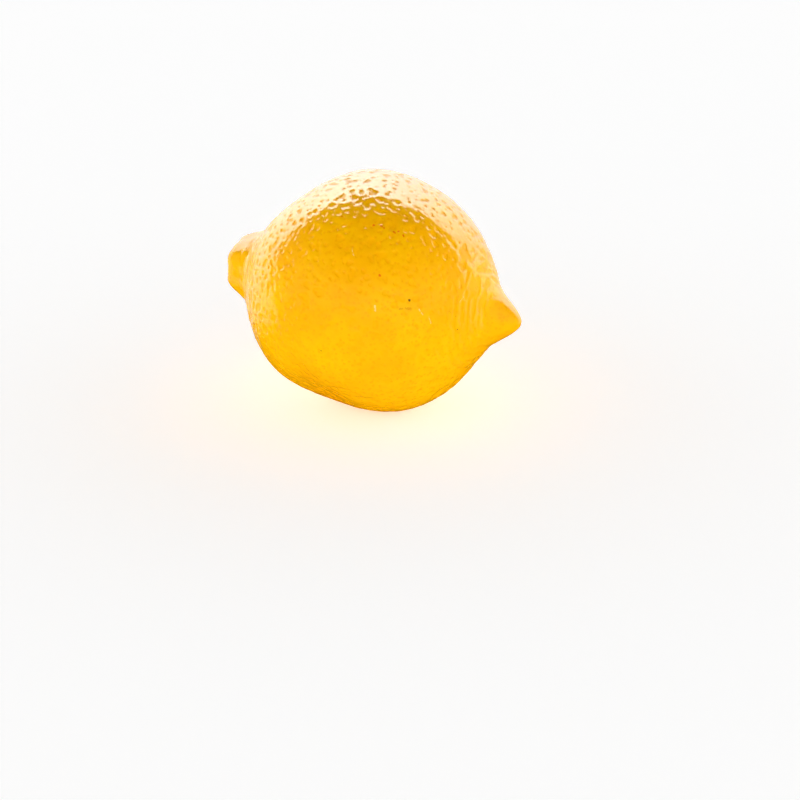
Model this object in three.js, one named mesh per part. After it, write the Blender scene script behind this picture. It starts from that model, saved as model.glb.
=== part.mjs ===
// A whole lemon lying on its side: the fruit, with a nipple at its blossom end and a ribbed neck at
// its stem end, and the dried button that stays in the neck when the fruit is picked.
//
// Millimetres, +Z up. +X runs along the fruit from the stem to the nipple. The origin is under the
// middle of the whole lemon, on the surface that it lies on.

import * as THREE from "three";
import { mergeVertices } from "three/addons/utils/BufferGeometryUtils.js";

// ---- Driving dimensions (millimetres, and degrees where a name says so) ----

// The body is an egg of revolution about X, measured from the middle of the fruit.
const BODY_RADIUS = 30.5;
const BODY_TO_STEM = 32.3;
const BODY_TO_NIPPLE = 32.0;
const BODY_FULLNESS = 1.95; // 2 is an ellipsoid, less is a more pointed egg
const WAIST_SOFTNESS = 0.15; // near its widest ring, within this share of the radius, it is rounder

// Broad, low swells and hollows make the body a little uneven, as a real one is. Each is placed by
// its angle along the fruit from the stem, and its angle round it from +Y towards +Z.
const SWELL_SPREAD_DEGREES = 22;
const SWELLS = [
  { name: "crown", along: 85, around: 75, rise: 0.8 },
  { name: "shoulder hollow", along: 50, around: 85, rise: -1.1 },
  { name: "lower shoulder", along: 45, around: -125, rise: 1.0 },
  { name: "belly hollow", along: 80, around: -130, rise: -2.2 },
  { name: "belly", along: 125, around: -110, rise: 0.7 },
];

// The nipple is a round-nosed cone that stands out of the body's blossom end.
const NIPPLE_LENGTH = 7.0;
const NIPPLE_HALF_ANGLE_DEGREES = 32;
const NIPPLE_NOSE = 3.6;
const NIPPLE_FILLET = 2.9;
const NIPPLE_LEAN = [0.1, -0.1]; // of its axis, towards +Y and +Z

// The neck is a flared, lightly ribbed collar at the stem end, with a pit in its face.
const NECK_LENGTH = 6.8;
const NECK_RADIUS = 6.8;
const NECK_FLARE = 0.355; // how much wider it gets for each millimetre towards the body
const NECK_EDGE_ROUND = 3.0;
const NECK_FILLET = 3.0;
const NECK_LEAN = [-0.05, 0.09];
const NECK_RIBS = 5;
const NECK_RIB_HEIGHT = 0.34;
const NECK_RIB_TURN_DEGREES = -5;
const PIT_DEPTH = 2.0;
const PIT_RADIUS = 4.0;

// The fruit lies on a small flat, as its peel gives a little under its weight.
const REST_FLAT_DEPTH = 0.6;

// The button is the dried calyx, a star of short sepals, with the stub of the cut stem on it.
const CALYX_RADIUS = 3.1;
const SEPALS = 5;
const SEPAL_REACH = 0.6; // a sepal's tip past the calyx's mean radius
const CALYX_THICKNESS = 0.8;
const CALYX_EDGE_THICKNESS = 0.32;
const STUB_RADIUS = 1.5;
const STUB_HEIGHT = 1.0;
const STUB_BEVEL = 0.2;
const BUTTON_CLEARANCE = 0.3;

// How finely the surfaces are divided.
const FRUIT_FACETS_AROUND = 80;
const FRUIT_FACETS_ALONG = 52;
const END_CROWDING = 0.22; // 0 spaces the fruit's rings evenly, 0.5 gathers them all at its ends
const BUTTON_FACETS = 60;

// Finishes.
const PEEL = { color: "#f5b800", roughness: 0.42, metalness: 0 };
const DRIED_CALYX = { color: "#6b4a24", roughness: 0.85, metalness: 0 };

// ---- The fruit's surface, as a distance from its middle in each direction ----

const radians = THREE.MathUtils.degToRad;

// The larger or the smaller of two lengths, with the corner between them filled or rounded.
const filletedMax = (a, b, size) => (a + b + Math.hypot(a - b, size)) / 2;
const roundedMin = (a, b, size) => (a + b - Math.hypot(a - b, size)) / 2;

const nippleAxis = new THREE.Vector3(1, ...NIPPLE_LEAN).normalize();
const neckAxis = new THREE.Vector3(-1, ...NECK_LEAN).normalize();
const neckSide = new THREE.Vector3().crossVectors(neckAxis, new THREE.Vector3(0, 0, 1)).normalize();
const neckUp = new THREE.Vector3().crossVectors(neckSide, neckAxis);

// An end's shape counts in full as far as 60 degrees off its axis, and has faded away at 87. Both
// limits are cosines. Without the fade its fillet would stop in a step round the fruit's waist.
const END_FULL = 0.5;
const END_LIMIT = 0.05;
const endShare = (along) => THREE.MathUtils.smootherstep(along, END_LIMIT, END_FULL);

function bodyReach(direction) {
  const halfLength = direction.x > 0 ? BODY_TO_NIPPLE : BODY_TO_STEM;
  const alongShare = direction.x / halfLength;
  const acrossShare = Math.hypot(direction.y, direction.z) / BODY_RADIUS;
  const waistShare = WAIST_SOFTNESS * acrossShare;
  const softShare = Math.hypot(alongShare, waistShare) ** BODY_FULLNESS - waistShare ** BODY_FULLNESS;
  const sum = softShare + acrossShare ** BODY_FULLNESS;
  return sum ** (-1 / BODY_FULLNESS);
}

function nippleReach(direction) {
  const along = direction.dot(nippleAxis);
  if (along <= END_LIMIT) return 0;
  const across = Math.sqrt(Math.max(0, 1 - along * along));
  const reach = BODY_TO_NIPPLE + NIPPLE_LENGTH;
  const nose = NIPPLE_NOSE / reach;
  const slope = 1 / Math.tan(radians(NIPPLE_HALF_ANGLE_DEGREES));
  const cone = reach / (along + slope * (Math.hypot(across, nose) - nose));
  return cone * endShare(along);
}

function neckReach(direction) {
  const along = direction.dot(neckAxis);
  if (along <= END_LIMIT) return 0;
  const across = Math.sqrt(Math.max(0, 1 - along * along));
  const turn = Math.atan2(direction.dot(neckUp), direction.dot(neckSide));
  const ribs = Math.cos(NECK_RIBS * (turn - radians(NECK_RIB_TURN_DEGREES)));
  const reach = BODY_TO_STEM + NECK_LENGTH;
  const radius = NECK_RADIUS + NECK_RIB_HEIGHT * ribs;
  const side = (radius + NECK_FLARE * reach) / (across + NECK_FLARE * along);
  const face = reach / along;
  return roundedMin(side, face, NECK_EDGE_ROUND) * endShare(along);
}

function pitDepth(direction, reach) {
  const along = direction.dot(neckAxis);
  if (along <= 0) return 0;
  const offAxis = reach * Math.sqrt(Math.max(0, 1 - along * along));
  return PIT_DEPTH * Math.exp(-((offAxis / PIT_RADIUS) ** 2));
}

function swellHeight(direction) {
  let height = 0;
  for (const { along, around, rise } of SWELLS) {
    const centre = directionAt(radians(along), radians(around));
    const off = direction.angleTo(centre) / radians(SWELL_SPREAD_DEGREES);
    height += rise * Math.exp(-off * off);
  }
  return height;
}

// The unit direction at an angle along the fruit from the stem end, and an angle round it.
function directionAt(along, around) {
  const across = Math.sin(along);
  return new THREE.Vector3(
    -Math.cos(along),
    across * Math.cos(around),
    across * Math.sin(around),
  );
}

function fruitReach(direction) {
  let reach = filletedMax(bodyReach(direction), nippleReach(direction), NIPPLE_FILLET);
  reach = filletedMax(reach, neckReach(direction), NECK_FILLET);
  reach -= pitDepth(direction, reach);
  return reach + swellHeight(direction);
}

// ---- Making a mesh's geometry ----

// Vertices nearer than this are one vertex.
const JOIN_DISTANCE = 1e-5;

// Joins a three.js geometry's seams and poles, and moves each vertex by a function of its place.
function moulded(geometry, move) {
  geometry.deleteAttribute("normal");
  geometry.deleteAttribute("uv");
  const joined = mergeVertices(geometry, JOIN_DISTANCE);
  const places = joined.getAttribute("position");
  const vertex = new THREE.Vector3();
  for (let i = 0; i < places.count; i++) {
    move(vertex.fromBufferAttribute(places, i));
    places.setXYZ(i, vertex.x, vertex.y, vertex.z);
  }
  joined.computeVertexNormals();
  return joined;
}

// Turns a direction on a plain sphere so that the rings gather at the fruit's two ends, and the
// poles of the sphere fall on the axes of the neck and the nipple.
function gatherAtEnds(direction) {
  const plain = Math.acos(THREE.MathUtils.clamp(-direction.x, -1, 1));
  const along = plain - END_CROWDING * Math.sin(2 * plain);
  const turned = directionAt(along, Math.atan2(direction.z, direction.y));
  const lean = turned.x > 0 ? NIPPLE_LEAN : NECK_LEAN;
  const share = turned.x * turned.x;
  return turned.add(new THREE.Vector3(0, lean[0] * share, lean[1] * share)).normalize();
}

function fruitGeometry() {
  const ball = new THREE.SphereGeometry(1, FRUIT_FACETS_AROUND, FRUIT_FACETS_ALONG);
  ball.rotateZ(Math.PI / 2);
  const fruit = moulded(ball, (vertex) => {
    const direction = gatherAtEnds(vertex);
    vertex.copy(direction).multiplyScalar(fruitReach(direction));
  });
  fruit.computeBoundingBox();
  const rest = fruit.boundingBox.min.z + REST_FLAT_DEPTH;
  return moulded(fruit, (vertex) => {
    vertex.z = Math.max(vertex.z, rest);
  });
}

// Each step of the search for the button's seat brings it several times closer.
const SEAT_STEPS = 12;

// How far the fruit's surface is from its middle along the neck's axis, at a place off that axis.
function seatHeight(side, up) {
  const direction = new THREE.Vector3();
  let height = BODY_TO_STEM + NECK_LENGTH;
  for (let step = 0; step < SEAT_STEPS; step++) {
    direction.copy(neckAxis).multiplyScalar(height);
    direction.addScaledVector(neckSide, side).addScaledVector(neckUp, up).normalize();
    height = fruitReach(direction) * direction.dot(neckAxis);
  }
  return height;
}

// The button is turned in its own frame, where Y is the neck's axis and 0 is the pit's surface.
// Its rim is drawn out into sepals, and all of it follows the pit that it sits in: its base has a
// ring of vertices half way out for that.
function buttonGeometry() {
  const stubTop = CALYX_THICKNESS + STUB_HEIGHT;
  const profile = new THREE.Path();
  profile.moveTo(0, 0);
  profile.lineTo(CALYX_RADIUS / 2, 0);
  profile.lineTo(CALYX_RADIUS, 0);
  profile.lineTo(CALYX_RADIUS, CALYX_EDGE_THICKNESS);
  profile.lineTo((CALYX_RADIUS + STUB_RADIUS) / 2, CALYX_THICKNESS);
  profile.lineTo(STUB_RADIUS, CALYX_THICKNESS);
  profile.lineTo(STUB_RADIUS, stubTop - STUB_BEVEL);
  profile.lineTo(STUB_RADIUS - STUB_BEVEL, stubTop);
  profile.lineTo(0, stubTop);
  const turned = new THREE.LatheGeometry(profile.getPoints(1), BUTTON_FACETS);
  return moulded(turned, (vertex) => {
    const radius = Math.hypot(vertex.x, vertex.z);
    const past = Math.max(0, (radius - STUB_RADIUS) / (CALYX_RADIUS - STUB_RADIUS));
    const reach = SEPAL_REACH * past * Math.cos(SEPALS * Math.atan2(vertex.z, vertex.x));
    const scale = radius > 0 ? (radius + reach) / radius : 1;
    const side = vertex.x * scale;
    const up = vertex.z * scale;
    const height = vertex.y + seatHeight(side, up) + BUTTON_CLEARANCE;
    vertex.copy(neckAxis).multiplyScalar(height);
    vertex.addScaledVector(neckSide, side).addScaledVector(neckUp, up);
  });
}

// ---- The lemon ----

function piece(name, geometry, finish) {
  const mesh = new THREE.Mesh(geometry, new THREE.MeshStandardMaterial(finish));
  mesh.name = name;
  return mesh;
}

const lemon = new THREE.Group();
lemon.add(piece("fruit", fruitGeometry(), PEEL));
lemon.add(piece("button", buttonGeometry(), DRIED_CALYX));

const extent = new THREE.Box3().setFromObject(lemon, true);
const middle = extent.getCenter(new THREE.Vector3());
lemon.position.set(-middle.x, -middle.y, -extent.min.z);

export default lemon;
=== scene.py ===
# %% [markdown]
# # A whole lemon, built from formulas
#
# This lesson dresses a plain faceted model of a lemon in its real skin. The plain model is the
# frame: it fixes the size and the place. We then work out a fine surface for each thing that a
# lemon is made of, which is the fruit and the dried button in its neck, and we give each one a
# material that is made of numbers and noise, with no pictures.

# %% Load the frame
import math

import bpy
import numpy as np
from mathutils import Euler, Matrix, Vector


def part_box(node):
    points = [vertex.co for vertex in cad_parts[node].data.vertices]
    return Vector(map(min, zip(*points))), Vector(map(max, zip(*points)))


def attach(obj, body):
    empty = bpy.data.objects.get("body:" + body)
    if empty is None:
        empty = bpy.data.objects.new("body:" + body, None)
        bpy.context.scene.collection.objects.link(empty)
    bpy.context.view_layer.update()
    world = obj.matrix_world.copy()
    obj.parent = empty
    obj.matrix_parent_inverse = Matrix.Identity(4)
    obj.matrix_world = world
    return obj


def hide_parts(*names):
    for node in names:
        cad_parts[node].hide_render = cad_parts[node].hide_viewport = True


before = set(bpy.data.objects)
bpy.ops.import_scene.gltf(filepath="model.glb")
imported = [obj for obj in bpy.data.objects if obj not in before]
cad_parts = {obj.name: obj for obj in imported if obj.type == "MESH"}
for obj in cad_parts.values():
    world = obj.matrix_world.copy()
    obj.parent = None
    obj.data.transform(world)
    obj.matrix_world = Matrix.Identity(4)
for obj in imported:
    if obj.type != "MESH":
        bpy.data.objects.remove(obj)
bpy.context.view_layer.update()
MM = 0.001

print("CAD nodes:", sorted(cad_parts))


# %% [markdown]
# ## The shape of a lemon
#
# A lemon is an egg with something added at each end: a blunt nipple where the flower was, and a
# ribbed collar where the stem was. We could push such a shape out of a ball by hand, but a formula
# is easier to keep true. For each direction from the middle of the fruit it says how far away
# the surface is. The egg, the nipple and the neck each have a formula of their own, and a rounded
# "larger of the two" joins them with a fillet, as clay is smoothed into a corner.

# %% Directions from the middle of the fruit
STEM_TO_NIPPLE = np.array([1.0, 0.0, 0.0])


def unit(vectors):
    """Each vector divided by its own length."""
    return vectors / np.linalg.norm(vectors, axis=-1, keepdims=True)


def direction_at(along, around):
    """The unit vector at an angle from the stem end, turned about X from +Y towards +Z."""
    across = np.sin(along)
    parts = (-np.cos(along), across * np.cos(around), across * np.sin(around))
    return np.stack(np.broadcast_arrays(*parts), axis=-1)


def smooth_step(low, high, values):
    """0 below low, 1 above high, and between them an S whose slope and bend are 0 at both ends."""
    share = np.clip((values - low) / (high - low), 0, 1)
    return share**3 * (10 - 15 * share + 6 * share * share)


def filleted_max(a, b, size):
    """The larger of two lengths, plus a fillet that is widest where they are equal."""
    return (a + b + np.hypot(a - b, size)) / 2


def rounded_min(a, b, size):
    """The smaller of two lengths, with the edge between them rounded off."""
    return (a + b - np.hypot(a - b, size)) / 2


# %% The egg, with the swells that keep it from being perfect (millimetres)
BODY_RADIUS = 30.5
BODY_TO_STEM = 32.3
BODY_TO_NIPPLE = 32.0
BODY_FULLNESS = 1.95
WAIST_SOFTNESS = 0.15
SWELL_SPREAD = math.radians(22)
SWELLS = {
    "crown": (85, 75, 0.8),
    "shoulder hollow": (50, 85, -1.1),
    "lower shoulder": (45, -125, 1.0),
    "belly hollow": (80, -130, -2.2),
    "belly": (125, -110, 0.7),
}


def body_reach(n):
    """A superellipse turned about X: the powers of the shares along and across add up to one.
    Near the widest ring the share along is rounded off, so that no crease runs round there."""
    along = n[..., 0] / np.where(n[..., 0] > 0, BODY_TO_NIPPLE, BODY_TO_STEM)
    across = np.hypot(n[..., 1], n[..., 2]) / BODY_RADIUS
    waist = WAIST_SOFTNESS * across
    soft = np.hypot(along, waist) ** BODY_FULLNESS - waist**BODY_FULLNESS
    return (soft + across**BODY_FULLNESS) ** (-1 / BODY_FULLNESS)


def swell_height(n):
    """A sum of round hills, each a bell curve of the angle from its own centre."""
    height = np.zeros(n.shape[:-1])
    for along, around, rise in SWELLS.values():
        centre = direction_at(math.radians(along), math.radians(around))
        off = np.arccos(np.clip(n @ centre, -1, 1)) / SWELL_SPREAD
        height += rise * np.exp(-off * off)
    return height


# %% The nipple
NIPPLE_LENGTH = 7.0
NIPPLE_HALF_ANGLE = math.radians(32)
NIPPLE_NOSE = 3.6
NIPPLE_FILLET = 2.9
NIPPLE_LEAN = (0.1, -0.1)
NIPPLE_REACH = BODY_TO_NIPPLE + NIPPLE_LENGTH
# An end's shape counts in full as far as 60 degrees off its axis, and has faded away at 87.
END_FULL = 0.5
END_LIMIT = 0.05
NIPPLE_AXIS = unit(np.array([1.0, *NIPPLE_LEAN]))


def cosine_and_sine(n, axis):
    """How far a direction points along an axis, and how far across it."""
    along = np.clip(n @ axis, -1, 1)
    return along, np.sqrt(1 - along * along)


def end_share(along):
    """1 well inside an end's own side, 0 outside it, so that its fillet never stops in a step."""
    return smooth_step(END_LIMIT, END_FULL, along)


def nipple_reach(n):
    """A cone about the nipple's axis, whose point is swapped for a hyperbola's round nose."""
    along, across = cosine_and_sine(n, NIPPLE_AXIS)
    nose = NIPPLE_NOSE / NIPPLE_REACH
    slope = (np.hypot(across, nose) - nose) / math.tan(NIPPLE_HALF_ANGLE)
    return end_share(along) * NIPPLE_REACH / (np.maximum(along, END_LIMIT) + slope)


# %% The neck and its pit
NECK_LENGTH = 6.8
NECK_RADIUS = 6.8
NECK_FLARE = 0.355
NECK_EDGE_ROUND = 3.0
NECK_FILLET = 3.0
NECK_LEAN = (-0.05, 0.09)
NECK_RIBS = 5
NECK_RIB_HEIGHT = 0.34
NECK_RIB_TURN = math.radians(-5)
PIT_DEPTH = 2.0
PIT_RADIUS = 4.0
NECK_REACH = BODY_TO_STEM + NECK_LENGTH
NECK_AXIS = unit(np.array([-1.0, *NECK_LEAN]))
NECK_SIDE = unit(np.cross(NECK_AXIS, (0, 0, 1)))
NECK_UP = np.cross(NECK_SIDE, NECK_AXIS)


def neck_reach(n):
    """A flared collar whose radius rises and falls in ribs, cut square by a face at its end."""
    along, across = cosine_and_sine(n, NECK_AXIS)
    share = end_share(along)
    along = np.maximum(along, END_LIMIT)
    turn = np.arctan2(n @ NECK_UP, n @ NECK_SIDE)
    radius = NECK_RADIUS + NECK_RIB_HEIGHT * np.cos(NECK_RIBS * (turn - NECK_RIB_TURN))
    side = (radius + NECK_FLARE * NECK_REACH) / (across + NECK_FLARE * along)
    collar = rounded_min(side, NECK_REACH / along, NECK_EDGE_ROUND)
    return share * collar


def fruit_reach(n):
    """Egg, nipple and neck joined by fillets, less a bell-shaped pit, plus the swells."""
    reach = filleted_max(body_reach(n), nipple_reach(n), NIPPLE_FILLET)
    reach = filleted_max(reach, neck_reach(n), NECK_FILLET)
    along, across = cosine_and_sine(n, NECK_AXIS)
    pit = PIT_DEPTH * np.exp(-((reach * across / PIT_RADIUS) ** 2))
    return reach - np.where(along > 0, pit, 0) + swell_height(n)


# %% [markdown]
# ## Is it the same lemon?
#
# The fine skin has to lie exactly where the plain model is, because other tools have weighed and
# dropped that model. So before going on we look for the fruit's middle in the frame, and then ask the
# formula how far each corner of the plain model is from its surface. The answer should be almost
# nothing, except on the small flat that the fruit rests on.

# %% Find the middle of the fruit in the frame, and measure the match
REST_FLAT_DEPTH = 0.6
FLAT_MARGIN = 0.01
SURVEY_ROWS = 361
SURVEY_COLUMNS = 721


def leaned(n):
    """Directions bent so that the poles fall on the axes of the neck and the nipple."""
    lean = np.where(n[..., :1] > 0, NIPPLE_LEAN, NECK_LEAN)
    bent = n.copy()
    bent[..., 1:] += lean * n[..., :1] ** 2
    return unit(bent)


survey = leaned(direction_at(
    np.linspace(0, math.pi, SURVEY_ROWS)[:, None],
    np.linspace(0, 2 * math.pi, SURVEY_COLUMNS)[None, :],
))
survey = survey * fruit_reach(survey)[..., None]
survey_high = survey.reshape(-1, 3).max(axis=0)
survey_low = survey.reshape(-1, 3).min(axis=0)
rest_height = survey_low[2] + REST_FLAT_DEPTH

fruit_low, fruit_high = (np.array(corner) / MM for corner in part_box("fruit"))
middle = (fruit_low + fruit_high) / 2 - (survey_low + survey_high) / 2
middle[2] = fruit_low[2] - rest_height

corners = np.empty(len(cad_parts["fruit"].data.vertices) * 3)
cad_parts["fruit"].data.vertices.foreach_get("co", corners)
corners = corners.reshape(-1, 3) / MM - middle
misses = np.linalg.norm(corners, axis=1) - fruit_reach(unit(corners))
on_flat = corners[:, 2] < rest_height + FLAT_MARGIN
print("middle of the fruit in mm:", middle.round(2))
print("largest miss off the flat, in mm:", round(float(np.abs(misses[~on_flat]).max()), 3))


# %% [markdown]
# ## The relief of the peel
#
# Lemon peel is full of oil glands. Over each large gland the skin sinks into a dimple, and between
# the dimples it swells a little. Towards both ends the skin was stretched round as it grew, so the
# dimples turn into short wrinkles that run round the fruit. A bump texture alone would leave
# the outline smooth, so the dimples are real geometry here, and only the finest grain is left to
# the material. We need two tools: noise for the swelling, and scattered dimples.

# %% Value noise
# The noise's own axes are turned askew, so that its cells never line up with the fruit.
NOISE_AXES = np.array(Euler((0.6, 0.8, 0.4)).to_matrix())


def value_noise(places, seed):
    """Random heights from -1 to 1 at whole-number places, joined by smooth steps between them."""
    places = places @ NOISE_AXES
    low = np.floor(places).reshape(-1, 3).min(axis=0).astype(int)
    high = np.floor(places).reshape(-1, 3).max(axis=0).astype(int)
    lattice = np.random.default_rng(seed).uniform(-1, 1, tuple(high - low + 2))
    cell = np.floor(places).astype(int) - low
    share = smooth_step(0, 1, places - np.floor(places))
    total = np.zeros(places.shape[:-1])
    for step in np.ndindex(2, 2, 2):
        weight = np.prod(np.where(step, share, 1 - share), axis=-1)
        index = cell + step
        total += weight * lattice[index[..., 0], index[..., 1], index[..., 2]]
    return total


# %% The grid that the peel is worked out on
ROWS = 224
COLUMNS = 440
END_CROWDING = 0.01

plain_along = np.linspace(0, math.pi, ROWS + 2)
row_along = plain_along - END_CROWDING * np.sin(2 * plain_along)
column_around = np.arange(COLUMNS) / COLUMNS * 2 * math.pi
grid = leaned(direction_at(row_along[:, None], column_around[None, :]))
smooth_reach = fruit_reach(grid)
smooth_places = grid * smooth_reach[..., None]
off_axis = smooth_reach * np.sin(row_along)[:, None]
towards_stem = row_along[:, None] < math.pi / 2
print("peel grid:", grid.shape, "triangles:", 2 * COLUMNS * ROWS)


# %% How much of each kind of relief there is at each place
def near_end(close, far):
    """1 within the distance close of the fruit's axis, 0 beyond far, smooth between."""
    return 1 - smooth_step(close, far, off_axis)


# Distances from the fruit's axis in mm: the nearer end of each range, then the farther one.
STRETCHED_WITHIN = (10, 25)
DIMPLED_FROM_NECK = (7.5, 11)
DIMPLED_FROM_NIPPLE = (4, 11)

stretched = near_end(*STRETCHED_WITHIN)
dimple_share = np.where(
    towards_stem,
    smooth_step(*DIMPLED_FROM_NECK, off_axis),
    smooth_step(*DIMPLED_FROM_NIPPLE, off_axis),
)

# %% Dimples over the large glands
DIMPLE_PITCH = 2.0
DIMPLE_RADIUS = 0.48
DIMPLE_DEPTH = 0.14
DIMPLE_SHAKE = 0.42
SIZE_SPREAD = 0.28
LARGEST_SHARE = 1.5
END_DRAW = 1.9
PINPRICK_PITCH = 1.45
PINPRICK_RADIUS = 0.36
PINPRICK_DEPTH = 0.05
DEEPEST = 1.3
# Dimples are dug a few at a time, each block of them only into the rows near it.
DIMPLE_BLOCK = 24
ROWS_NEAR = 9
SAME_SIDE_COSINE = 0.9
POLE_MARGIN = 0.01
GOLDEN_TURN = math.pi * (3 - math.sqrt(5))


def scattered_dimples(pitch, radius, depth, seed):
    """A golden spiral of points over the fruit, each shaken a little and given a size of its own.
    Each digs a bell-shaped dimple, which is drawn out round the fruit near the two ends."""
    rng = np.random.default_rng(seed)
    count = int(4 * math.pi * BODY_RADIUS * BODY_TO_NIPPLE / pitch**2)
    order = np.arange(count) + 0.5
    along = np.arccos(1 - 2 * order / count)
    shake = pitch / BODY_RADIUS
    along += rng.uniform(-DIMPLE_SHAKE, DIMPLE_SHAKE, count) * shake
    along = np.clip(along, POLE_MARGIN, math.pi - POLE_MARGIN)
    around = rng.uniform(-DIMPLE_SHAKE, DIMPLE_SHAKE, count) * shake / np.sin(along)
    around += order * GOLDEN_TURN
    size = np.exp(rng.normal(0, SIZE_SPREAD, count))
    dug = np.zeros(off_axis.shape)
    for block in np.array_split(np.argsort(along), count // DIMPLE_BLOCK):
        nearest = np.searchsorted(row_along, along[block])
        rows = slice(max(nearest.min() - ROWS_NEAR, 0), nearest.max() + ROWS_NEAR)
        centre = leaned(direction_at(along[block], around[block]))
        round_way = unit(np.cross(centre, STEM_TO_NIPPLE))
        along_way = np.cross(centre, round_way)
        reach = smooth_reach[rows, :, None]
        draw = 1 + END_DRAW * stretched[rows, :, None]
        across = (grid[rows] @ round_way.T) * reach / (radius * size[block] * draw)
        up = (grid[rows] @ along_way.T) * reach / (radius * size[block])
        same_side = grid[rows] @ centre.T > SAME_SIDE_COSINE
        bell = np.where(same_side, np.exp(-across * across - up * up), 0)
        dug[rows] += (bell * depth * np.minimum(size[block], LARGEST_SHARE)).sum(axis=-1)
    return dug


dimples = scattered_dimples(DIMPLE_PITCH, DIMPLE_RADIUS, DIMPLE_DEPTH, seed=11)
pinpricks = scattered_dimples(PINPRICK_PITCH, PINPRICK_RADIUS, PINPRICK_DEPTH, seed=12)
dug = np.minimum(dimples + pinpricks, DEEPEST * DIMPLE_DEPTH) * dimple_share
print("deepest dimple in mm:", round(float(dug.max()), 3))

# %% Swelling between the dimples, and wrinkles round the ends
# Each layer of swelling has a cell and a height in mm, and a seed.
SWELLING = ((7.0, 0.10, 21), (2.2, 0.07, 22))
WRINKLE_HEIGHT = 0.27
WRINKLE_PITCH = 1.7
WRINKLES_AROUND = 19
WRINKLED_WITHIN = (9, 27)
NIPPLE_WRINKLE_SHARE = 0.35

swelling = np.zeros(off_axis.shape)
for cell, height, seed in SWELLING:
    swelling += height * value_noise(smooth_places / cell, seed)

turns = WRINKLES_AROUND / (2 * math.pi)
wrinkle_places = np.stack(np.broadcast_arrays(
    row_along[:, None] * BODY_TO_STEM / WRINKLE_PITCH,
    turns * np.cos(column_around)[None, :],
    turns * np.sin(column_around)[None, :],
), axis=-1)
wrinkles = WRINKLE_HEIGHT * value_noise(wrinkle_places, 23) * near_end(*WRINKLED_WITHIN)
wrinkles *= np.where(towards_stem, 1, NIPPLE_WRINKLE_SHARE)

# %% Furrows that fan out over the neck from the button
FURROWS_AROUND = 26
FURROW_DEPTH = 0.30
FURROW_LENGTH = 9.0
FURROWED_FROM = (2.0, 4.5)
FURROWED_WITHIN = (8, 13)

turns = FURROWS_AROUND / (2 * math.pi)
furrow_places = np.stack(np.broadcast_arrays(
    off_axis / FURROW_LENGTH,
    turns * np.cos(column_around)[None, :],
    turns * np.sin(column_around)[None, :],
), axis=-1)
on_neck = towards_stem * smooth_step(*FURROWED_FROM, off_axis) * near_end(*FURROWED_WITHIN)
furrows = FURROW_DEPTH * value_noise(furrow_places, 24) * on_neck

# %% The scar that the flower left by the tip of the nipple: a small pit inside a low rim
SCAR_AXIS = unit(np.array([1.0, 0.135, -0.12]))
SCAR_RADIUS = 0.8
SCAR_DEPTH = 0.28
SCAR_RIM_RADIUS = 1.3
SCAR_RIM_HEIGHT = 0.10
# The bare nipple and the neck keep this share of the swelling and the wrinkles.
LEAST_RELIEF = 0.15

off_scar = smooth_reach * cosine_and_sine(grid, SCAR_AXIS)[1]
scar_pit = SCAR_DEPTH * np.exp(-((off_scar / SCAR_RADIUS) ** 2))
scar_rim = SCAR_RIM_HEIGHT * np.exp(-(((off_scar - SCAR_RIM_RADIUS) / (SCAR_RADIUS / 2)) ** 2))
scar = np.where(towards_stem, 0, scar_rim - scar_pit)

relief = (swelling + wrinkles) * (LEAST_RELIEF + (1 - LEAST_RELIEF) * dimple_share)
relief = relief - dug + furrows + scar
print("relief in mm:", round(float(relief.min()), 3), "to", round(float(relief.max()), 3))


# %% [markdown]
# ## From a grid to a mesh
#
# The grid of places becomes a closed skin. The first and last rows shrink to one point each, so
# the skin is closed at both poles by a fan of triangles, and the last column joins the first
# one. We also lay out a map, with the turn round the fruit across it and the way along it upwards,
# so that the colours can be painted onto it later if someone needs that.

# %% A closed skin over a grid of rows and columns
def closed_skin(name, places, faces, corner_map):
    """A mesh object at the origin, from places in millimetres about the frame's own origin."""
    mesh = bpy.data.meshes.new(name)
    mesh.from_pydata((places * MM).tolist(), [], faces)
    mesh.polygons.foreach_set("use_smooth", np.ones(len(mesh.polygons), bool))
    layer = mesh.uv_layers.new(name="OFBake")
    layer.data.foreach_set("uv", corner_map.astype(np.float32).ravel())
    mesh.update()
    piece = bpy.data.objects.new(name, mesh)
    bpy.context.scene.collection.objects.link(piece)
    print(name, "has", len(mesh.vertices), "vertices and", len(mesh.polygons), "faces")
    return piece


def globe_faces(rows, columns):
    """Faces and their map for a globe: one vertex, then rows of columns, then one vertex."""
    row = np.arange(rows - 1)[:, None] * columns + 1
    here = np.arange(columns)[None, :]
    after = (here + 1) % columns
    quads = np.stack([row + here, row + after, row + columns + after, row + columns + here], -1)
    first_row = 1 + here[0]
    last_row = 1 + (rows - 1) * columns + here[0]
    last = 1 + rows * columns
    start_fan = np.stack([np.zeros(columns, int), 1 + after[0], first_row], -1)
    end_fan = np.stack([np.full(columns, last), last_row, last_row - here[0] + after[0]], -1)
    faces = quads.reshape(-1, 4).tolist() + start_fan.tolist() + end_fan.tolist()

    left = np.broadcast_to(here / columns, (rows - 1, columns))
    right = left + 1 / columns
    low = np.broadcast_to((np.arange(rows - 1)[:, None] + 1) / (rows + 1), left.shape)
    high = low + 1 / (rows + 1)
    corners = np.stack([left, low, right, low, right, high, left, high], -1).reshape(-1, 2)
    side = here[0] / columns
    width = 1 / columns
    edge = 1 / (rows + 1)
    start = np.stack([side + width / 2, side * 0, side + width, side * 0 + edge, side,
                      side * 0 + edge], -1).reshape(-1, 2)
    end = np.stack([side + width / 2, side * 0 + 1, side, side * 0 + 1 - edge, side + width,
                    side * 0 + 1 - edge], -1).reshape(-1, 2)
    return faces, np.concatenate([corners, start, end])


# %% The peel
peel_places = grid * (smooth_reach + relief)[..., None]
peel_places[..., 2] = np.maximum(peel_places[..., 2], rest_height)
peel_places += middle


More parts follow.
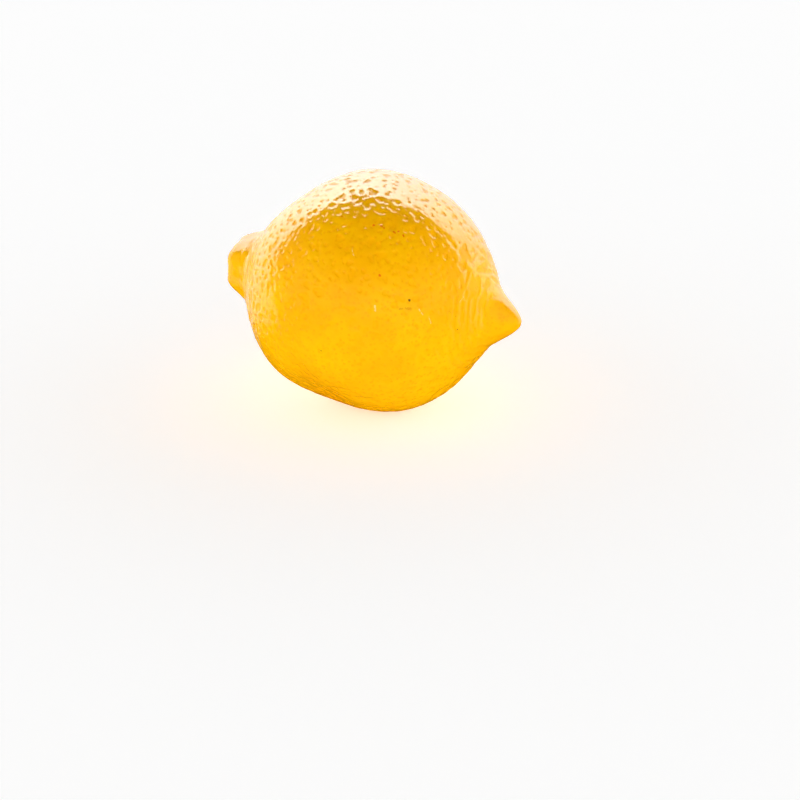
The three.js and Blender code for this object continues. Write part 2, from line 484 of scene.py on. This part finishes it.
def globe_order(values):
    """The values of a grid in the order of a globe's vertices: a pole, the rows, a pole."""
    inner = values[1:-1].reshape(-1, *values.shape[2:])
    return np.concatenate([values[:1, 0], inner, values[-1:, 0]])


peel_faces, peel_map = globe_faces(ROWS, COLUMNS)
peel = closed_skin("peel", globe_order(peel_places), peel_faces, peel_map)
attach(peel, "root")
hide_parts("fruit")

# %% Facts about the peel that its material will want
def note(piece, name, values):
    """Writes one number for each vertex under a name that a material can look up."""
    layer = piece.data.attributes.new(name, "FLOAT", "POINT")
    layer.data.foreach_set("value", values.astype(np.float32))


SCARRED_WITHIN = (0.2, 2.2)
NECK_WITHIN = (7.5, 11)

scarred_share = np.where(towards_stem, 0, 1 - smooth_step(*SCARRED_WITHIN, off_scar))
neck_share = np.where(towards_stem, near_end(*NECK_WITHIN), 0)
note(peel, "dimple", globe_order(dug / DIMPLE_DEPTH))
note(peel, "scarred", globe_order(scarred_share))
note(peel, "furrow", globe_order(furrows / FURROW_DEPTH))
note(peel, "neck", globe_order(neck_share))


# %% [markdown]
# ## The button
#
# When a lemon is clipped from the tree, its calyx stays in the pit of the neck: five short sepals
# that dry to a dark brown star, and in the middle of them the cut stub of the stem. Both are
# turned shapes at heart. So we carry a profile round the neck's axis, draw its rim out into sepals,
# and set each place of it on the pit's own surface, so that the star lies snugly in its hollow.

# %% The neck's own frame: side and up across its axis, and height along it
SEAT_STEPS = 12


def seat_height(side, up):
    """How high the skin is at a place off the neck's axis, by steps that close in on it."""
    height = np.full(side.shape, NECK_REACH)
    for _ in range(SEAT_STEPS):
        ray = unit(height[..., None] * NECK_AXIS + side[..., None] * NECK_SIDE
                   + up[..., None] * NECK_UP)
        height = fruit_reach(ray) * (ray @ NECK_AXIS)
    return height


def in_neck(radius, turn, rise):
    """Places at a radius and a turn about the neck's axis, raised above the skin there."""
    side = radius * np.cos(turn)
    up = radius * np.sin(turn)
    height = seat_height(side, up) + rise
    return (middle + height[..., None] * NECK_AXIS + side[..., None] * NECK_SIDE
            + up[..., None] * NECK_UP)


# %% The calyx, a star of five dried sepals
CALYX_ROWS = 46
CALYX_COLUMNS = 240
SEPALS = 5
NOTCH_RADIUS = 2.3
SEPAL_TIP_RADIUS = 3.7
SEPAL_POINT = 1.3
SEPAL_THICKNESS = 0.20
SEPAL_VEIN = 0.14
SEPAL_CURL = 0.75
CALYX_COLLAR = 0.55
CALYX_CREASES = 0.12
CALYX_RAGGEDNESS = 0.22
COLLAR_RADIUS = 1.9
VEIN_WIDTH = 0.22
CREASE_PITCH = 0.55
DEEPEST_CREASE = 0.03
CALYX_CLEARANCE = 0.04
SEPAL_TWIST = 0.06
SEPAL_LENGTHS = (0.55, 1.0)
SEPAL_CURLS = (0.15, 1.0)
CURLED_FROM = 0.35
VEIN_REACH = 1.15
# The ragged rim is noise read round a circle of this many cells.
RAGGED_CIRCLE = 4.5

# The profile runs out along the underside and comes back over the top.
calyx_step = np.linspace(0, 1, CALYX_ROWS + 2)[:, None]
calyx_turn = (np.arange(CALYX_COLUMNS) / CALYX_COLUMNS * 2 * math.pi)[None, :]
share_out = np.sin(math.pi * calyx_step)
upper = smooth_step(0.40, 0.60, calyx_step)

# Each sepal has a length, a curl and a bend of its own.
sepal = np.round(calyx_turn * SEPALS / (2 * math.pi)).astype(int) % SEPALS
sepal_rng = np.random.default_rng(31)
sepal_length = sepal_rng.uniform(*SEPAL_LENGTHS, SEPALS)[sepal]
sepal_curl = sepal_rng.uniform(*SEPAL_CURLS, SEPALS)[sepal]
from_vein = np.arccos(np.cos(SEPALS * calyx_turn)) / math.pi

drawn_out = (1 - from_vein**SEPAL_POINT) * sepal_length
ragged_places = np.stack(np.broadcast_arrays(
    RAGGED_CIRCLE * np.cos(calyx_turn),
    RAGGED_CIRCLE * np.sin(calyx_turn),
    0.5,
), axis=-1)
ragged_rim = CALYX_RAGGEDNESS * value_noise(ragged_places, 34)
rim_radius = NOTCH_RADIUS + (SEPAL_TIP_RADIUS - NOTCH_RADIUS) * drawn_out + ragged_rim
calyx_radius = share_out * rim_radius
collar = CALYX_COLLAR * np.exp(-((calyx_radius / COLLAR_RADIUS) ** 4))
vein = SEPAL_VEIN * np.exp(-((from_vein / VEIN_WIDTH) ** 2)) * share_out * (VEIN_REACH - share_out)
curl = SEPAL_CURL * sepal_curl * drawn_out * smooth_step(CURLED_FROM, 1.0, share_out) ** 2
crease_places = np.stack(np.broadcast_arrays(
    calyx_radius * np.cos(calyx_turn) / CREASE_PITCH,
    calyx_radius * np.sin(calyx_turn) / CREASE_PITCH,
    0.0,
), axis=-1)
creases = CALYX_CREASES * value_noise(crease_places, 32) * share_out
calyx_rise = CALYX_CLEARANCE + curl + np.maximum(creases, -DEEPEST_CREASE)
calyx_rise = calyx_rise + upper * (SEPAL_THICKNESS + collar + vein)

twisted_turn = calyx_turn + SEPAL_TWIST * np.sin(3 * calyx_turn)
calyx_places = in_neck(calyx_radius, twisted_turn, calyx_rise)
calyx_faces, calyx_map = globe_faces(CALYX_ROWS, CALYX_COLUMNS)
calyx = closed_skin("calyx", globe_order(calyx_places), calyx_faces, calyx_map)
# This grid runs the other way round its axis than the peel's, so its faces are turned outwards.
calyx.data.flip_normals()
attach(calyx, "root")
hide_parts("button")
note(calyx, "out", globe_order(np.broadcast_to(share_out, calyx_radius.shape)))

# %% The stub of the stem, clipped a little askew
STUB_ROWS = 70
STUB_COLUMNS = 180
# Radius and height of the stub's profile, from the middle of its foot to the middle of its cut.
STUB_PROFILE = ((0, 0.15), (1.62, 0.15), (1.66, 0.55), (1.42, 0.95), (1.36, 1.45), (1.36, 1.68),
                (1.22, 1.76), (0.95, 1.72), (0, 1.62))
STUB_FIBRES = 17
STUB_FIBRE_HEIGHT = 0.045
STUB_SLANT = 0.16
STUB_UNEVENNESS = 0.12
PITH_RADIUS = 0.28
PITH_DEPTH = 0.18
FIBRE_WANDER = 2.5
SLANT_TURN = 0.9
# The stub's noise has cells this high, in mm, and is read round a circle of this many cells.
STUB_NOISE_CELL = 0.9
STUB_NOISE_CIRCLE = 2.2

stub_turn = (np.arange(STUB_COLUMNS) / STUB_COLUMNS * 2 * math.pi)[None, :]
corner_radius, corner_rise = np.array(STUB_PROFILE).T
corner_length = np.append(0, np.cumsum(np.hypot(np.diff(corner_radius), np.diff(corner_rise))))
stub_length = np.linspace(0, corner_length[-1], STUB_ROWS + 2)[:, None]
stub_radius = np.interp(stub_length, corner_length, corner_radius)
stub_rise = np.interp(stub_length, corner_length, corner_rise)
on_cut = smooth_step(corner_length[5], corner_length[6], stub_length)
on_side = smooth_step(0.3, 0.7, stub_rise) * (1 - on_cut)

stub_noise_places = np.stack(np.broadcast_arrays(
    stub_rise / STUB_NOISE_CELL,
    STUB_NOISE_CIRCLE * np.cos(stub_turn),
    STUB_NOISE_CIRCLE * np.sin(stub_turn),
), axis=-1)
unevenness = value_noise(stub_noise_places, 33)
fibres = STUB_FIBRE_HEIGHT * np.cos(STUB_FIBRES * stub_turn + FIBRE_WANDER * unevenness)
stub_radius = stub_radius + on_side * fibres + STUB_UNEVENNESS * unevenness * stub_radius
pith = PITH_DEPTH * np.exp(-((stub_radius / PITH_RADIUS) ** 2)) * on_cut
slant = STUB_SLANT * stub_radius * np.cos(stub_turn - SLANT_TURN)
slant = slant * smooth_step(0.7, 1.7, stub_rise)
stub_places = in_neck(stub_radius, stub_turn, stub_rise - pith + slant)

stub_faces, stub_map = globe_faces(STUB_ROWS, STUB_COLUMNS)
stub = closed_skin("stem_stub", globe_order(stub_places), stub_faces, stub_map)
# This grid runs the same way as the calyx's, so its faces are turned too.
stub.data.flip_normals()
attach(stub, "root")
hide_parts("button")
note(stub, "cut", globe_order(np.broadcast_to(on_cut, stub_radius.shape)))
note(stub, "radius", globe_order(stub_radius))


# %% [markdown]
# ## The peel's colour and shine
#
# Lemon peel is a thin layer of coloured cells under a coat of natural wax. The colour is not even:
# there are broad paler patches, and over each of the many small glands the oil makes a slightly
# deeper dot. The colour is also painted deeper in the dimples and in the furrows of the neck, as
# painted shade. The wax makes it shine, least at the bottom of the dimples and on the neck. A painted
# picture could carry all this, but noise and cells that are read in the peel's own space need no
# seam, and stay sharp as near as anyone looks. A little light also travels inside the rind, so
# the shader gets some scattering under the surface.

# %% Helpers for node materials
def new_material(name):
    """An empty material with its Principled shader, and the node tree to add to."""
    material = bpy.data.materials.new(name)
    material.use_nodes = True
    shader = material.node_tree.nodes["Principled BSDF"]
    return material, material.node_tree, shader


def plug(tree, socket, value):
    """Links a socket to a value that is itself a socket, or sets it to a plain value."""
    if isinstance(value, bpy.types.NodeSocket):
        tree.links.new(value, socket)
    else:
        socket.default_value = value


def texture(tree, kind, places, scale, output, **settings):
    """A noise or a cell texture read at those places."""
    node = tree.nodes.new(kind)
    for key, value in settings.items():
        if key in node.inputs:
            node.inputs[key].default_value = value
        else:
            setattr(node, key, value)
    plug(tree, node.inputs["Vector"], places)
    node.inputs["Scale"].default_value = scale
    return node.outputs[output]


def ramp(tree, value, low, high, start=0.0, end=1.0):
    """The value moved from the range low..high to the range start..end, with smooth ends."""
    node = tree.nodes.new("ShaderNodeMapRange")
    node.interpolation_type = "SMOOTHSTEP"
    plug(tree, node.inputs["Value"], value)
    for key, number in (("From Min", low), ("From Max", high), ("To Min", start), ("To Max", end)):
        node.inputs[key].default_value = number
    return node.outputs["Result"]


def sums(tree, operation, a, b=0.0):
    """One sum on two numbers."""
    node = tree.nodes.new("ShaderNodeMath")
    node.operation = operation
    plug(tree, node.inputs[0], a)
    plug(tree, node.inputs[1], b)
    return node.outputs[0]


def blend_colours(tree, share, a, b):
    """Colour a where the share is 0, colour b where it is 1."""
    node = tree.nodes.new("ShaderNodeMix")
    node.data_type = "RGBA"
    plug(tree, node.inputs[0], share)
    plug(tree, node.inputs[6], a if isinstance(a, bpy.types.NodeSocket) else (*a, 1))
    plug(tree, node.inputs[7], b if isinstance(b, bpy.types.NodeSocket) else (*b, 1))
    return node.outputs[2]


def attribute(tree, name):
    """A number that was noted on the vertices."""
    node = tree.nodes.new("ShaderNodeAttribute")
    node.attribute_name = name
    return node.outputs["Fac"]


def bumped(tree, shader, height, distance):
    """Gives the shader a bump of that height, times a distance in millimetres."""
    bump = tree.nodes.new("ShaderNodeBump")
    bump.inputs["Strength"].default_value = 1.0
    bump.inputs["Distance"].default_value = distance * MM
    plug(tree, bump.inputs["Height"], height)
    plug(tree, shader.inputs["Normal"], bump.outputs["Normal"])


# %% The peel's material
PEEL_YELLOW = (0.94, 0.465, 0.001)
PEEL_DEEP = (0.89, 0.375, 0.001)
PEEL_LIGHT = (0.95, 0.50, 0.001)
NECK_GREEN = (0.82, 0.42, 0.004)
# How many cells of each texture there are in a metre.
BLOTCH_CELLS = 70
MOTTLE_CELLS = 420
GLAND_CELLS = 850
RAGGED_CELLS = 900
GRAIN_CELLS = 2500
# How far each thing takes the colour towards another one.
YELLOW_SHARE = 0.5
MOTTLE_SHARE = 0.25
GLAND_SHARE = 0.8
DIMPLE_SHADE_SHARE = 0.35
NECK_SHARE = 0.5
FURROW_SHADE_SHARE = 0.6

peel_material, tree, shader = new_material("lemon_peel")
places = tree.nodes.new("ShaderNodeTexCoord").outputs["Object"]
blotches = texture(tree, "ShaderNodeTexNoise", places, BLOTCH_CELLS, "Fac", Detail=2.0)
mottle = texture(tree, "ShaderNodeTexNoise", places, MOTTLE_CELLS, "Fac", Detail=2.0)
glands = texture(tree, "ShaderNodeTexVoronoi", places, GLAND_CELLS, "Distance", feature="F1")
gland_spots = ramp(tree, glands, 0.12, 0.45, 1.0, 0.0)

colour = blend_colours(tree, ramp(tree, blotches, 0.35, 0.65), PEEL_DEEP, PEEL_LIGHT)
colour = blend_colours(tree, YELLOW_SHARE, colour, PEEL_YELLOW)
mottled = ramp(tree, mottle, 0.4, 0.7, 0.0, MOTTLE_SHARE)
colour = blend_colours(tree, mottled, colour, PEEL_DEEP)
colour = blend_colours(tree, sums(tree, "MULTIPLY", gland_spots, GLAND_SHARE), colour, PEEL_DEEP)
# Painted shade: the colour goes deeper in the dimples, where the skin sinks in.
painted_dimple_shade = ramp(tree, attribute(tree, "dimple"), 0.2, 1.0, 0.0, DIMPLE_SHADE_SHARE)
colour = blend_colours(tree, painted_dimple_shade, colour, PEEL_DEEP)
on_collar = ramp(tree, attribute(tree, "neck"), 0.0, 1.0, 0.0, NECK_SHARE)
colour = blend_colours(tree, on_collar, colour, NECK_GREEN)
# Painted shade: the colour goes deeper in the furrows on the neck, where the skin is lowest.
painted_furrow_shade = ramp(tree, attribute(tree, "furrow"), -0.2, -0.8, 0.0, FURROW_SHADE_SHARE)
colour = blend_colours(tree, painted_furrow_shade, colour, PEEL_DEEP)

# %% Small marks from branches and insects, placed to the nearest five degrees or so
MARK_BROWN = (0.16, 0.055, 0.004)
MARK_ORANGE = (0.80, 0.16, 0.002)
MARK_PALE = (0.98, 0.74, 0.30)
MARK_TAN = (0.55, 0.22, 0.002)
# A spot has an angle along and an angle round the fruit, and a radius in mm.
BROWN_MARKS = ((130, 160, 0.36), (155, -175, 0.26), (160, -155, 0.24), (90, -170, 0.22),
               (60, 35, 0.30), (120, 20, 0.24))
ORANGE_MARKS = ((90, 125, 0.30), (115, 150, 0.44), (70, -30, 0.50), (100, 50, 0.44))
# A scuff is a short row of specks that starts at those two angles and runs along the fruit. Its
# length and its shake are in degrees.
SCUFFS = ((105, 125), (115, 125))
SCUFF_LENGTH = 6
SCUFF_SPECKS = 5
SCUFF_SHAKE = 1.2
SPECK_RADII = (0.28, 0.42)
# A stroke starts at two angles, runs on by two more, and has a radius in mm.
PALE_STROKES = ((100, 140, 1.5, 3, 0.17), (115, 165, 0.5, 2.5, 0.25), (135, 165, 2, 3, 0.19),
                (140, 170, 1, 4, 0.14), (155, 155, 1.5, -6, 0.14), (85, 10, 1, 4, 0.20))
TAN_STROKES = ((125, 165, 6, 0, 0.55),)
DARK_STROKES = ((150, 165, 4, 5, 0.17),)
STROKE_BEADS = 6
# Within this share of its radius a spot is solid, and from there on it fades.
SPOT_CORE = 0.4
TAN_SHARE = 0.55
PALE_SHARE = 0.8
SCRATCH_SHARE = 0.6
MARK_WOBBLE = 0.5 * MM
WOBBLE_CELLS = 1500
SPECKLE_CELLS = 1300


def marks(tree, places, spots):
    """The largest of the shares of some round spots, each 1 inside and 0 past its radius."""
    share = 0.0
    for along, around, radius in spots:
        way = direction_at(math.radians(along), math.radians(around))
        node = tree.nodes.new("ShaderNodeVectorMath")
        node.operation = "DISTANCE"
        plug(tree, node.inputs[0], places)
        node.inputs[1].default_value = (middle + way * fruit_reach(way)) * MM
        edge = radius * MM
        spot = ramp(tree, node.outputs["Value"], SPOT_CORE * edge, edge, 1.0, 0.0)
        share = sums(tree, "MAXIMUM", spot, share)
    return share


def beads(strokes):
    """Spots strung closely along each stroke."""
    steps = np.linspace(0, 1, STROKE_BEADS)
    return [(along + step * along_run, around + step * around_run, radius)
            for along, around, along_run, around_run, radius in strokes for step in steps]


def specks(scuffs):
    """Spots spread evenly along each scuff, then each shaken a little and given its own radius."""
    rng = np.random.default_rng(41)
    spots = []
    for along, around in scuffs:
        shakes = rng.uniform(-SCUFF_SHAKE, SCUFF_SHAKE, (SCUFF_SPECKS, 2))
        runs = np.linspace(0, SCUFF_LENGTH, SCUFF_SPECKS)
        radii = rng.uniform(*SPECK_RADII, SCUFF_SPECKS)
        spots += list(zip(along + runs + shakes[:, 0], around + shakes[:, 1], radii))
    return spots


def wobbled(tree, places, scale, size):
    """Places moved by noise, by up to half a size each way, so that spots lose their roundness."""
    noise = texture(tree, "ShaderNodeTexNoise", places, scale, "Color", Detail=1.0)
    recentred = tree.nodes.new("ShaderNodeVectorMath")
    recentred.operation = "SUBTRACT"
    plug(tree, recentred.inputs[0], places)
    recentred.inputs[1].default_value = (size / 2,) * 3
    moved = tree.nodes.new("ShaderNodeVectorMath")
    moved.operation = "MULTIPLY_ADD"
    plug(tree, moved.inputs[0], noise)
    moved.inputs[1].default_value = (size,) * 3
    plug(tree, moved.inputs[2], recentred.outputs[0])
    return moved.outputs[0]


# %% The marks on the peel
uneven_places = wobbled(tree, places, WOBBLE_CELLS, MARK_WOBBLE)
speckle = texture(tree, "ShaderNodeTexNoise", places, SPECKLE_CELLS, "Fac", Detail=1.0)
speckle = ramp(tree, speckle, 0.42, 0.62)
tanned = sums(tree, "MULTIPLY", marks(tree, uneven_places, beads(TAN_STROKES)), speckle)
colour = blend_colours(tree, sums(tree, "MULTIPLY", tanned, TAN_SHARE), colour, MARK_TAN)
orange = marks(tree, uneven_places, [*ORANGE_MARKS, *specks(SCUFFS)])
colour = blend_colours(tree, orange, colour, MARK_ORANGE)
pale = marks(tree, uneven_places, beads(PALE_STROKES))
colour = blend_colours(tree, sums(tree, "MULTIPLY", pale, PALE_SHARE), colour, MARK_PALE)
brown = marks(tree, uneven_places, BROWN_MARKS)
scratched = marks(tree, uneven_places, beads(DARK_STROKES))
scratched = sums(tree, "MULTIPLY", scratched, SCRATCH_SHARE)
colour = blend_colours(tree, sums(tree, "MAXIMUM", brown, scratched), colour, MARK_BROWN)

# %% The corky scar at the nipple's tip
SCAR_TAN = (0.62, 0.26, 0.02)
SCAR_BROWN = (0.13, 0.045, 0.008)
ragged = texture(tree, "ShaderNodeTexNoise", places, RAGGED_CELLS, "Fac", Detail=3.0)
ragged = ramp(tree, ragged, 0.2, 0.8, -0.25, 0.25)
scarred = sums(tree, "ADD", attribute(tree, "scarred"), ragged)
colour = blend_colours(tree, ramp(tree, scarred, 0.30, 0.60), colour, SCAR_TAN)
colour = blend_colours(tree, ramp(tree, scarred, 0.60, 0.85), colour, SCAR_BROWN)
plug(tree, shader.inputs["Base Color"], colour)

# %% The peel's fine relief and gloss
# Heights of the bump in mm.
PIT_BUMP = -0.06
GLAND_BUMP = -0.02
GRAIN_BUMP = 0.004
SHINE = 0.5
SHINE_LOST_IN_PITS = 0.4
NECK_SHINE = 0.4
SCAR_ROUGHNESS = 0.7

grain = texture(tree, "ShaderNodeTexNoise", places, GRAIN_CELLS, "Fac", Detail=2.0)
in_pit = ramp(tree, attribute(tree, "dimple"), 0.40, 0.95)
pit = sums(tree, "MULTIPLY", in_pit, PIT_BUMP)
height = sums(tree, "ADD", pit, sums(tree, "MULTIPLY", gland_spots, GLAND_BUMP))
height = sums(tree, "ADD", height, sums(tree, "MULTIPLY", grain, GRAIN_BUMP))
bumped(tree, shader, height, 1.0)
roughness = ramp(tree, mottle, 0.3, 0.7, 0.09, 0.13)
roughness = sums(tree, "MAXIMUM", roughness, ramp(tree, scarred, 0.3, 0.7, 0.0, SCAR_ROUGHNESS))
plug(tree, shader.inputs["Roughness"], roughness)
shine = sums(tree, "SUBTRACT", SHINE, sums(tree, "MULTIPLY", in_pit, SHINE_LOST_IN_PITS))
shine_there = ramp(tree, attribute(tree, "neck"), 0.0, 1.0, 1.0, NECK_SHINE)
plug(tree, shader.inputs["Specular IOR Level"], sums(tree, "MULTIPLY", shine, shine_there))
shader.inputs["IOR"].default_value = 1.42
shader.inputs["Subsurface Weight"].default_value = 0.12
shader.inputs["Subsurface Radius"].default_value = (1.0, 0.45, 0.05)
shader.inputs["Subsurface Scale"].default_value = 1.5 * MM
peel.data.materials.append(peel_material)


# %% [markdown]
# ### The dried button
#
# Dry plant tissue is matt, and its colour runs along its fibres. So its streaks are noise that is
# read from the piece's own map and drawn out along the fibres. The cut face of the stub shows pale
# wood with faint rings, inside a dark ring of bark, and a soft brown pith in the middle.

# %% Streaks along the fibres, and the calyx's material
def streaks(tree, across, along, seed):
    """Noise on the piece's own map, stretched along the way that the fibres run."""
    mapping = tree.nodes.new("ShaderNodeMapping")
    plug(tree, mapping.inputs["Vector"], tree.nodes.new("ShaderNodeTexCoord").outputs["UV"])
    mapping.inputs["Scale"].default_value = (across, along, 1.0)
    mapping.inputs["Location"].default_value = (0.0, 0.0, seed)
    return texture(tree, "ShaderNodeTexNoise", mapping.outputs["Vector"], 1.0, "Fac", Detail=3.0)


CALYX_DARK = (0.060, 0.026, 0.008)
CALYX_BROWN = (0.22, 0.105, 0.028)
CALYX_TAN = (0.46, 0.29, 0.10)
CALYX_CELLS = 700
CALYX_STREAKS = (70, 5, 1.0)
CALYX_BUMP = 0.12

calyx_material, tree, shader = new_material("dried_calyx")
places = tree.nodes.new("ShaderNodeTexCoord").outputs["Object"]
patches = texture(tree, "ShaderNodeTexNoise", places, CALYX_CELLS, "Fac", Detail=3.0)
fibre = streaks(tree, *CALYX_STREAKS)
colour = blend_colours(tree, ramp(tree, patches, 0.35, 0.65), CALYX_DARK, CALYX_BROWN)
colour = blend_colours(tree, ramp(tree, fibre, 0.5, 0.75, 0.0, 0.6), colour, CALYX_TAN)
rim = ramp(tree, attribute(tree, "out"), 0.75, 1.0, 0.0, 0.5)
colour = blend_colours(tree, rim, colour, CALYX_DARK)
plug(tree, shader.inputs["Base Color"], colour)
plug(tree, shader.inputs["Roughness"], ramp(tree, patches, 0.3, 0.7, 0.65, 0.9))
bumped(tree, shader, fibre, CALYX_BUMP)
calyx.data.materials.append(calyx_material)

# %% The stub's material
BARK_BROWN = (0.17, 0.075, 0.02)
BARK_TAN = (0.36, 0.20, 0.07)
WOOD_CREAM = (0.86, 0.66, 0.38)
WOOD_RING = (0.66, 0.42, 0.18)
PITH_BROWN = (0.34, 0.17, 0.055)
RING_PITCH = 0.33
STUB_CELLS = 1400
STUB_STREAKS = (60, 4, 2.0)
STUB_BUMP = 0.10
RING_SHARE = 0.15

stub_material, tree, shader = new_material("cut_stem")
places = tree.nodes.new("ShaderNodeTexCoord").outputs["Object"]
patches = texture(tree, "ShaderNodeTexNoise", places, STUB_CELLS, "Fac", Detail=3.0)
fibre = streaks(tree, *STUB_STREAKS)
bark = blend_colours(tree, ramp(tree, fibre, 0.35, 0.65), BARK_BROWN, BARK_TAN)

from_pith = attribute(tree, "radius")
uneven = sums(tree, "ADD", from_pith, ramp(tree, patches, 0.2, 0.8, -0.15, 0.15))
ring = sums(tree, "SINE", sums(tree, "MULTIPLY", uneven, 2 * math.pi / RING_PITCH))
wood = blend_colours(tree, ramp(tree, ring, 0.1, 1.0, 0.0, 0.35), WOOD_CREAM, WOOD_RING)
wood = blend_colours(tree, ramp(tree, patches, 0.45, 0.75, 0.0, 0.5), wood, WOOD_RING)
wood = blend_colours(tree, ramp(tree, uneven, 0.15, 0.45, 1.0, 0.0), wood, PITH_BROWN)
wood = blend_colours(tree, ramp(tree, uneven, 1.00, 1.28), wood, BARK_BROWN)
colour = blend_colours(tree, attribute(tree, "cut"), bark, wood)
plug(tree, shader.inputs["Base Color"], colour)
plug(tree, shader.inputs["Roughness"], ramp(tree, patches, 0.3, 0.7, 0.7, 0.9))
ringed = sums(tree, "ADD", fibre, sums(tree, "MULTIPLY", ring, RING_SHARE))
bumped(tree, shader, ringed, STUB_BUMP)
stub.data.materials.append(stub_material)


# %% [markdown]
# ## Floor, camera and light
#
# A lemon looks fresh because of what its waxy skin mirrors: here a big bright panel over and
# behind it, and a dark room in front of it, which leaves the front a deep yellow. Softboxes could
# do that. We paint the world by direction instead, because then it can be one thing for mirrored
# light and another for soft light, which lets us set the shine and the colour one at a time. The
# floor is plain and pale, and glows a little from below like a light table.

# %% The floor
FLOOR_RADIUS = 4.0
FLOOR_SIDES = 96
FLOOR_GLOW = 0.35
floor_turn = np.arange(FLOOR_SIDES) / FLOOR_SIDES * 2 * math.pi
floor_rim = FLOOR_RADIUS * np.stack([np.cos(floor_turn), np.sin(floor_turn), 0 * floor_turn], -1)
floor_mesh = bpy.data.meshes.new("floor")
floor_mesh.from_pydata(floor_rim.tolist(), [], [list(range(FLOOR_SIDES))])
floor = bpy.data.objects.new("floor", floor_mesh)
bpy.context.scene.collection.objects.link(floor)
# The peel doesn't mirror the floor.
floor.visible_glossy = False

floor_material, tree, shader = new_material("floor_white")
shader.inputs["Base Color"].default_value = (0.9, 0.9, 0.9, 1)
shader.inputs["Roughness"].default_value = 0.9
shader.inputs["Specular IOR Level"].default_value = 0.0
shader.inputs["Emission Color"].default_value = (1, 1, 1, 1)
shader.inputs["Emission Strength"].default_value = FLOOR_GLOW
floor.data.materials.append(floor_material)

# %% The camera
CAMERA_TURN = math.radians(24)
CAMERA_TILT = math.radians(23)
CAMERA_DISTANCE = 482.0
LENS = 85.0
SENSOR = 36.0
# Where the middle of the fruit stands, as a share of the picture's side from its centre.
FRUIT_RIGHT = -0.034
FRUIT_UP = 0.135


def away(turn, height):
    """The direction at a turn to the right of straight in front, and a height above the floor."""
    flat = math.cos(height)
    return Vector((math.sin(turn) * flat, -math.cos(turn) * flat, math.sin(height)))


back = away(CAMERA_TURN, CAMERA_TILT)
right = away(CAMERA_TURN + math.pi / 2, 0)
up = back.cross(right)
span = SENSOR / LENS * CAMERA_DISTANCE
aim = Vector(middle) - (right * FRUIT_RIGHT + up * FRUIT_UP) * span

camera_data = bpy.data.cameras.new("camera")
camera_data.lens = LENS
camera_data.sensor_width = SENSOR
camera_data.clip_start = 0.01
camera = bpy.data.objects.new("camera", camera_data)
bpy.context.scene.collection.objects.link(camera)
bpy.context.scene.camera = camera
axes = Matrix((right, up, back)).transposed().to_4x4()
camera.matrix_world = Matrix.Translation((aim + back * CAMERA_DISTANCE) * MM) @ axes

# %% A world that is painted by direction
world = bpy.data.worlds.new("studio")
bpy.context.scene.world = world
world.use_nodes = True
# The world isn't sampled as a lamp: its light comes with the rays that leave the scene.
world.cycles.sampling_method = "NONE"
tree = world.node_tree
way = tree.nodes.new("ShaderNodeTexCoord").outputs["Generated"]


def facing(tree, way, axis):
    """The cosine of the angle between a direction and an axis."""
    node = tree.nodes.new("ShaderNodeVectorMath")
    node.operation = "DOT_PRODUCT"
    plug(tree, node.inputs[0], way)
    node.inputs[1].default_value = axis
    return node.outputs["Value"]


raised = facing(tree, way, (0, 0, 1))

# %% Mirrored light: dark in front, and brighter and brighter from the far horizon to overhead
# The panel's edges, as the two cosines between which it goes from dark to bright: first behind
# the fruit, then above the floor.
BEHIND_EDGE = (0.02, 0.12)
RAISED_EDGE = (-0.50, -0.32)
PANEL_GLOW = 1.9
PANEL_RISE = 10.0
LEFT_GAIN = 1.1
RIGHT_GAIN = 0.8
SIDE_REACH = 0.6
# On the left, the panel starts further behind the fruit, so the neck's near side stays dark.
LEFT_SHUT = 0.18

to_right = facing(tree, way, right)
shut_off = sums(tree, "MULTIPLY", sums(tree, "MINIMUM", to_right, 0.0), LEFT_SHUT)
behind = sums(tree, "ADD", facing(tree, way, -back), shut_off)
behind = ramp(tree, behind, *BEHIND_EDGE)
above = ramp(tree, raised, *RAISED_EDGE)
panel = sums(tree, "MULTIPLY", sums(tree, "POWER", PANEL_RISE, raised), PANEL_GLOW)
gain = ramp(tree, to_right, -SIDE_REACH, SIDE_REACH, LEFT_GAIN, RIGHT_GAIN)
mirrored = sums(tree, "MULTIPLY", panel, gain)
mirrored = sums(tree, "MULTIPLY", mirrored, sums(tree, "MULTIPLY", behind, above))

# %% Soft light: from low down all round, little from overhead, and less from straight in front
LOW_TO_HIGH = (-0.34, 0.82)
LOW_GLOW = 6.0
OVERHEAD_GLOW = 0.05
RIGHT_GLOW = 0.05
# Straight in front of the fruit, the soft light is cut to this share.
FRONT_DIM = 0.72

soft = ramp(tree, raised, *LOW_TO_HIGH, LOW_GLOW, OVERHEAD_GLOW)
soft = sums(tree, "ADD", soft, sums(tree, "MULTIPLY", to_right, RIGHT_GLOW))
dimmed = ramp(tree, facing(tree, way, back), 0.2, 1.0, 1.0, FRONT_DIM)
soft = sums(tree, "MULTIPLY", soft, dimmed)

either = tree.nodes.new("ShaderNodeMix")
either.data_type = "FLOAT"
plug(tree, either.inputs[0], tree.nodes.new("ShaderNodeLightPath").outputs["Is Glossy Ray"])
plug(tree, either.inputs[2], soft)
plug(tree, either.inputs[3], mirrored)
plug(tree, tree.nodes["Background"].inputs["Strength"], either.outputs[0])
tree.nodes["Background"].inputs["Color"].default_value = (1, 1, 1, 1)
bpy.context.scene.view_settings.view_transform = "Standard"
